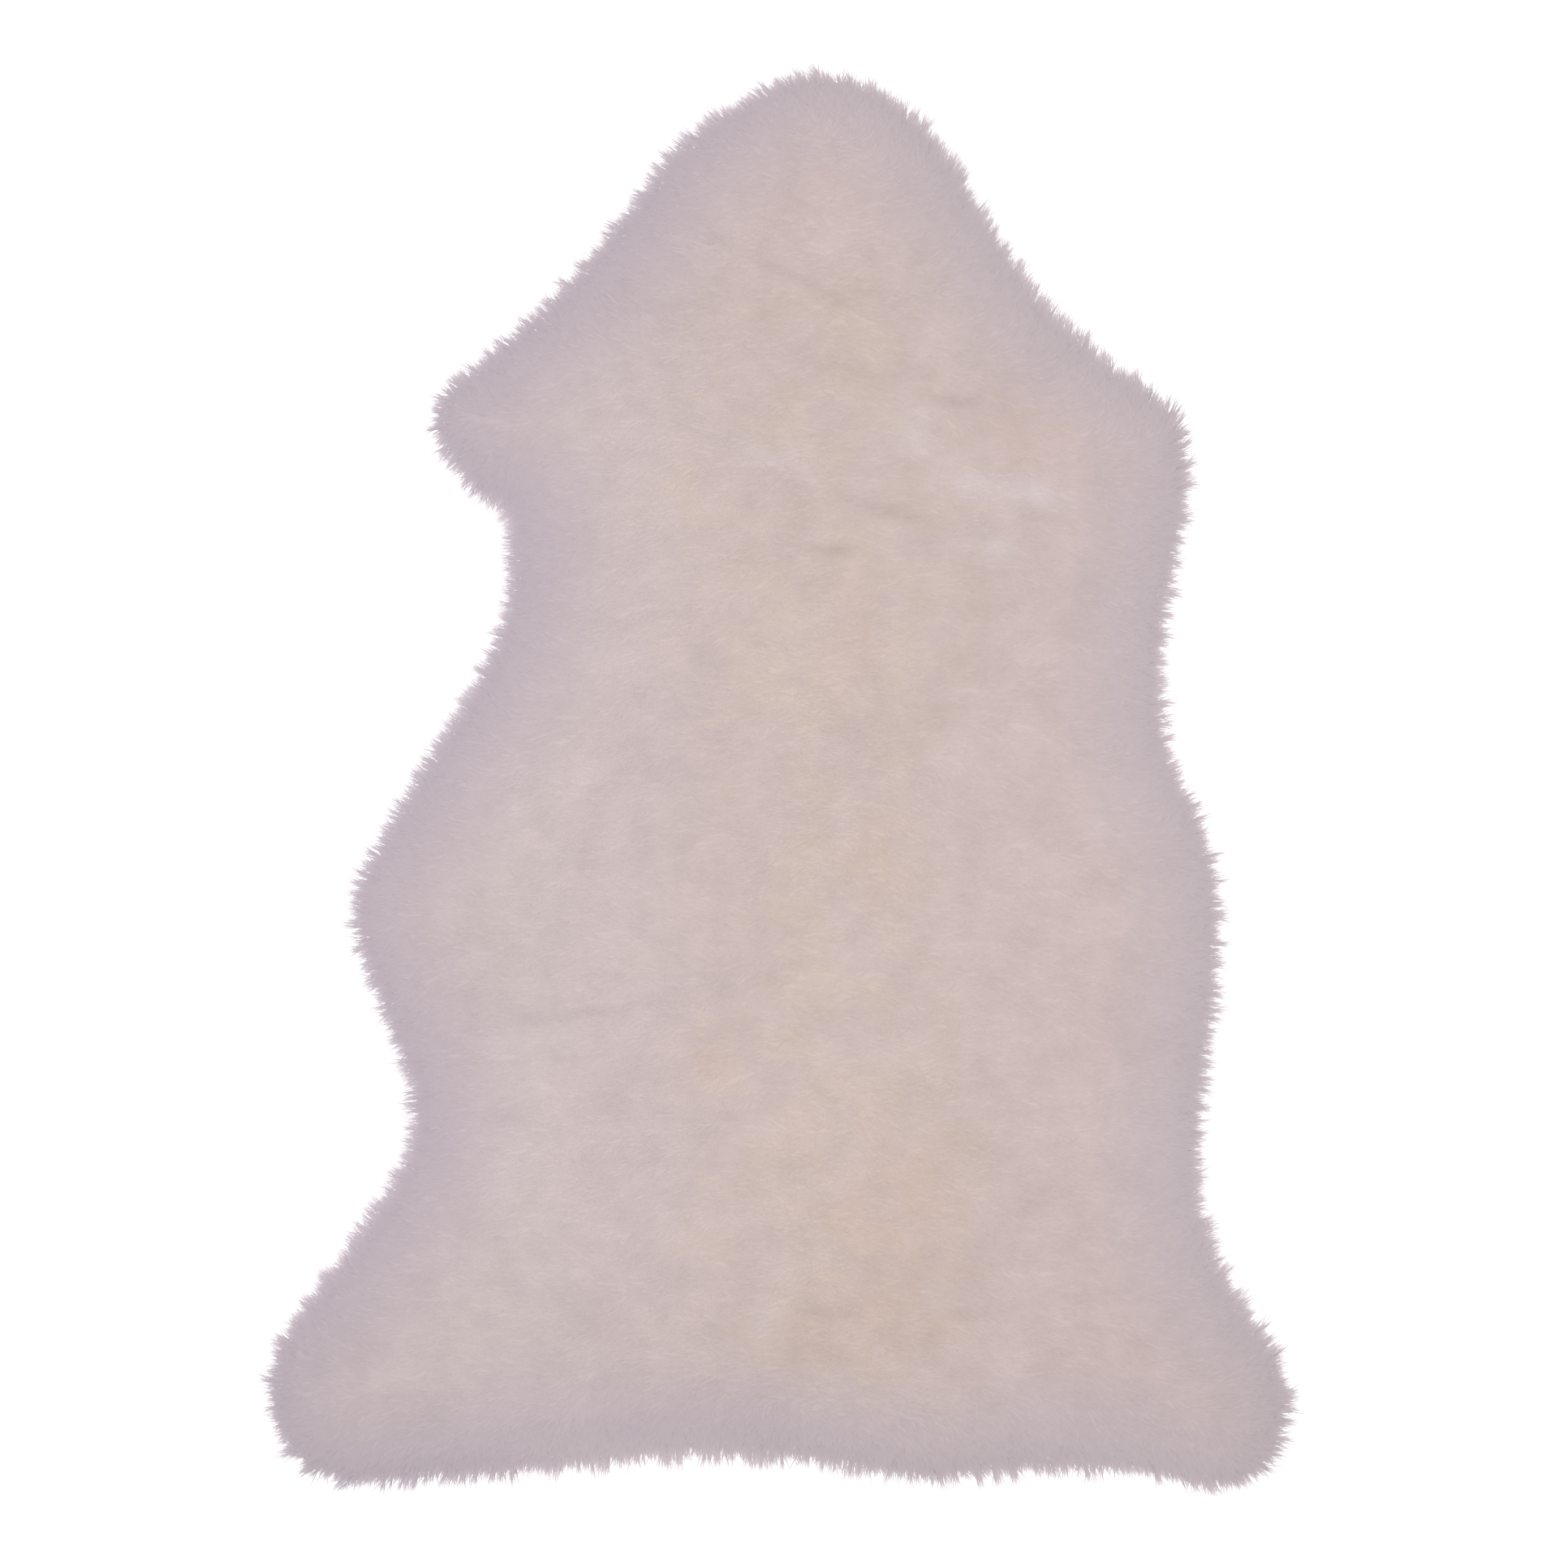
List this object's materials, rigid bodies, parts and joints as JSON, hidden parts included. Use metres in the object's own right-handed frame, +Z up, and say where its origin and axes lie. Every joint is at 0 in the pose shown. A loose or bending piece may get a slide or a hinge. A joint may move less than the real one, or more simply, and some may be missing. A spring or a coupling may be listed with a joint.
{
  "type": "sheepskin rug",
  "caption": "Whole sheepskin pelt lying flat with its dense wool up, cut to its natural outline with neck, shoulder lobes, waist and hind lobes.",
  "frame": {"origin": "on the floor plane, at the middle of the rug's width and length", "axes": "+Y from the rump to the neck, +X across to the right with the wool facing up, +Z up out of the wool"},
  "size_m": [0.6852, 0.95, 0.049],
  "materials": {
    "wool": "soft dense wool pile, matt, cream with a faint pink cast, cooler at the edge",
    "hide": "undyed tanned flesh side, suede-like and matt"
  },
  "bodies": {
    "root": {"sheepskin": "wool"}
  },
  "joints": []
}
